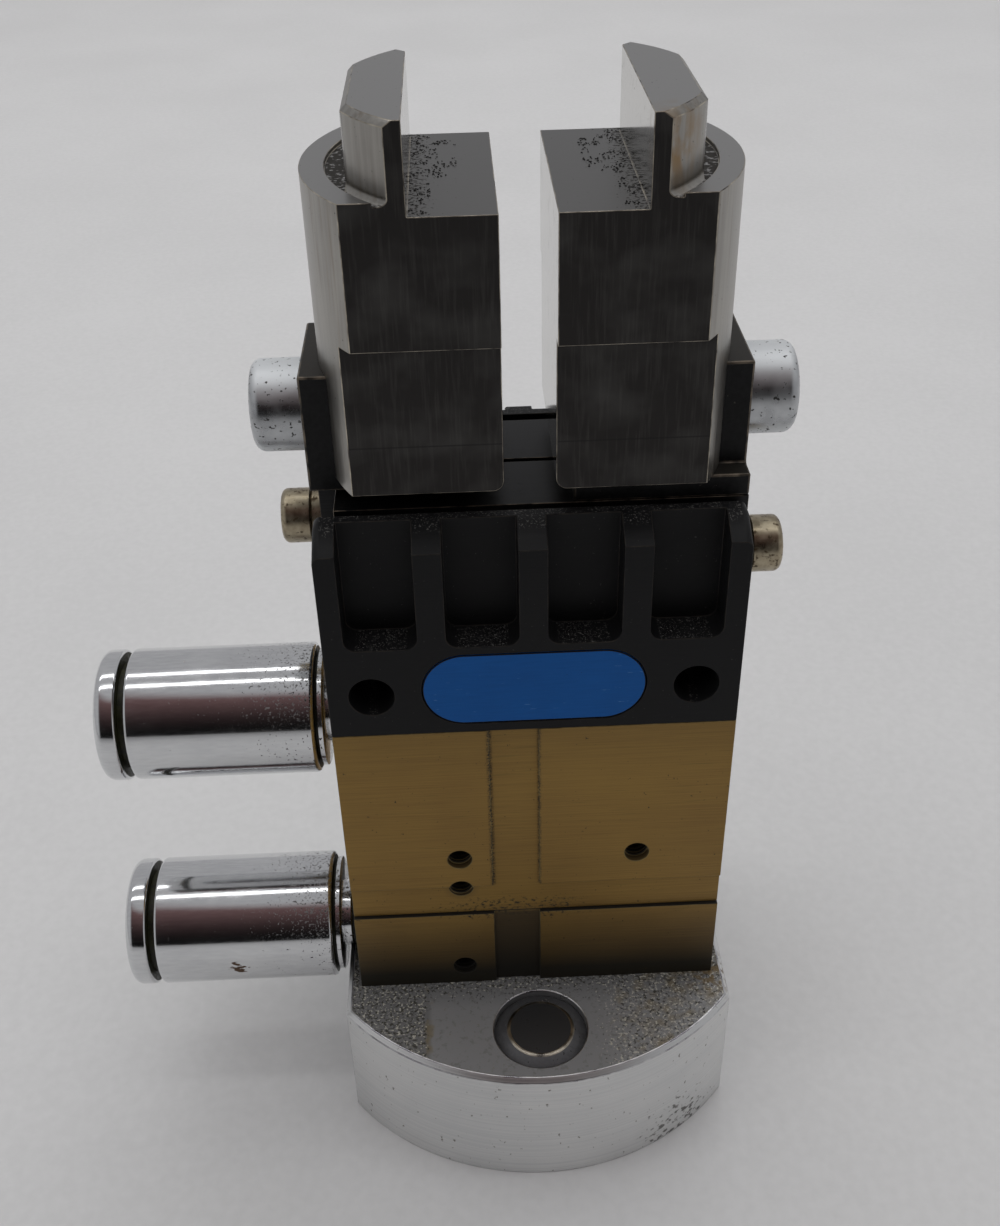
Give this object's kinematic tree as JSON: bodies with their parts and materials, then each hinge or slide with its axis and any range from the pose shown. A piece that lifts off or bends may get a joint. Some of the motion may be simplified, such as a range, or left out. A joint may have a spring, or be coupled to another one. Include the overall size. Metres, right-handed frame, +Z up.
{
  "type": "pneumatic parallel gripper",
  "caption": "Pneumatic parallel gripper on a round adapter flange, with ribbed guide housing, wedge-driven jaw rails, internal-grip steel fingers and push-in air fittings.",
  "frame": {"origin": "centre of the adapter flange's underside, on the pilot bore's axis", "axes": "+Z up from the flange to the fingers, +X along the jaw travel with the air fittings on the -X side, -Y the face with the name plate"},
  "size_m": [0.0695, 0.0544, 0.109],
  "materials": {
    "satin_aluminium": "satin machined",
    "dark_steel": "blackened",
    "zinc_steel": "zinc plated",
    "stained_nickel": "nickel plated, stained",
    "gold_anodised": "gold anodised, brushed",
    "black_anodised": "hard anodised, matt",
    "blue_plate": "blue enamel",
    "seal_rubber": "matt",
    "hardened_steel": "hardened and ground, oiled",
    "piston_aluminium": "turned",
    "magnet": "plain",
    "spring_steel": "drawn",
    "blackened_steel": "blackened",
    "ground_steel": "turned and ground",
    "nickel_plate": "nickel plated"
  },
  "bodies": {
    "housing": {"mounting_flange": "satin_aluminium", "flange_dowels": "dark_steel", "flange_screws": "zinc_steel", "base_screws": "zinc_steel", "guide_screws": "zinc_steel", "spring_housing": "gold_anodised", "cylinder_body": "gold_anodised", "guide_housing": "black_anodised", "name_plate": "blue_plate", "cylinder_gasket": "seal_rubber", "rod_seal": "seal_rubber", "upper_thread_seal": "seal_rubber", "lower_thread_seal": "seal_rubber", "upper_tube_seal": "seal_rubber", "lower_tube_seal": "seal_rubber", "front_guide_strip": "hardened_steel", "rear_guide_strip": "hardened_steel", "return_spring": "spring_steel", "upper_grab_ring": "spring_steel", "lower_grab_ring": "spring_steel", "upper_fitting_body": "nickel_plate", "lower_fitting_body": "nickel_plate"},
    "left_jaw": {"left_jaw_rail": "hardened_steel", "left_jaw_bracket": "blackened_steel", "left_finger": "ground_steel", "left_finger_screw": "zinc_steel", "left_end_screw": "stained_nickel", "left_end_washer": "stained_nickel", "left_foot_screws": "zinc_steel"},
    "right_jaw": {"right_jaw_rail": "hardened_steel", "right_jaw_bracket": "blackened_steel", "right_finger": "ground_steel", "right_finger_screw": "zinc_steel", "right_end_screw": "stained_nickel", "right_end_washer": "stained_nickel", "right_foot_screws": "zinc_steel"},
    "piston_group": {"piston": "piston_aluminium", "piston_seal": "seal_rubber", "piston_magnets": "magnet", "wedge_driver": "hardened_steel", "driver_screw": "zinc_steel"},
    "upper_collar": {"upper_release_collar": "nickel_plate"},
    "lower_collar": {"lower_release_collar": "nickel_plate"}
  },
  "joints": [
    {"name": "left_jaw_slide", "type": "slide", "parent": "housing", "child": "left_jaw", "axis": [1, 0, 0], "range_m": [0, 0.002], "stiffness_N_per_m": 1500, "springref_m": -0.006},
    {"name": "right_jaw_slide", "type": "slide", "parent": "housing", "child": "right_jaw", "axis": [-1, 0, 0], "range_m": [0, 0.002]},
    {"name": "piston_slide", "type": "slide", "parent": "housing", "child": "piston_group", "axis": [0, 0, -1], "range_m": [0, 0.004], "deforming": ["return_spring"]},
    {"name": "upper_collar_slide", "type": "slide", "parent": "housing", "child": "upper_collar", "axis": [1, 0, 0], "range_m": [0, 0.0006], "stiffness_N_per_m": 400},
    {"name": "lower_collar_slide", "type": "slide", "parent": "housing", "child": "lower_collar", "axis": [1, 0, 0], "range_m": [0, 0.0006], "stiffness_N_per_m": 400}
  ],
  "couplings": [
    {"joint": "right_jaw_slide", "follows": "left_jaw_slide", "ratio": 1},
    {"joint": "piston_slide", "follows": "left_jaw_slide", "ratio": 2}
  ]
}
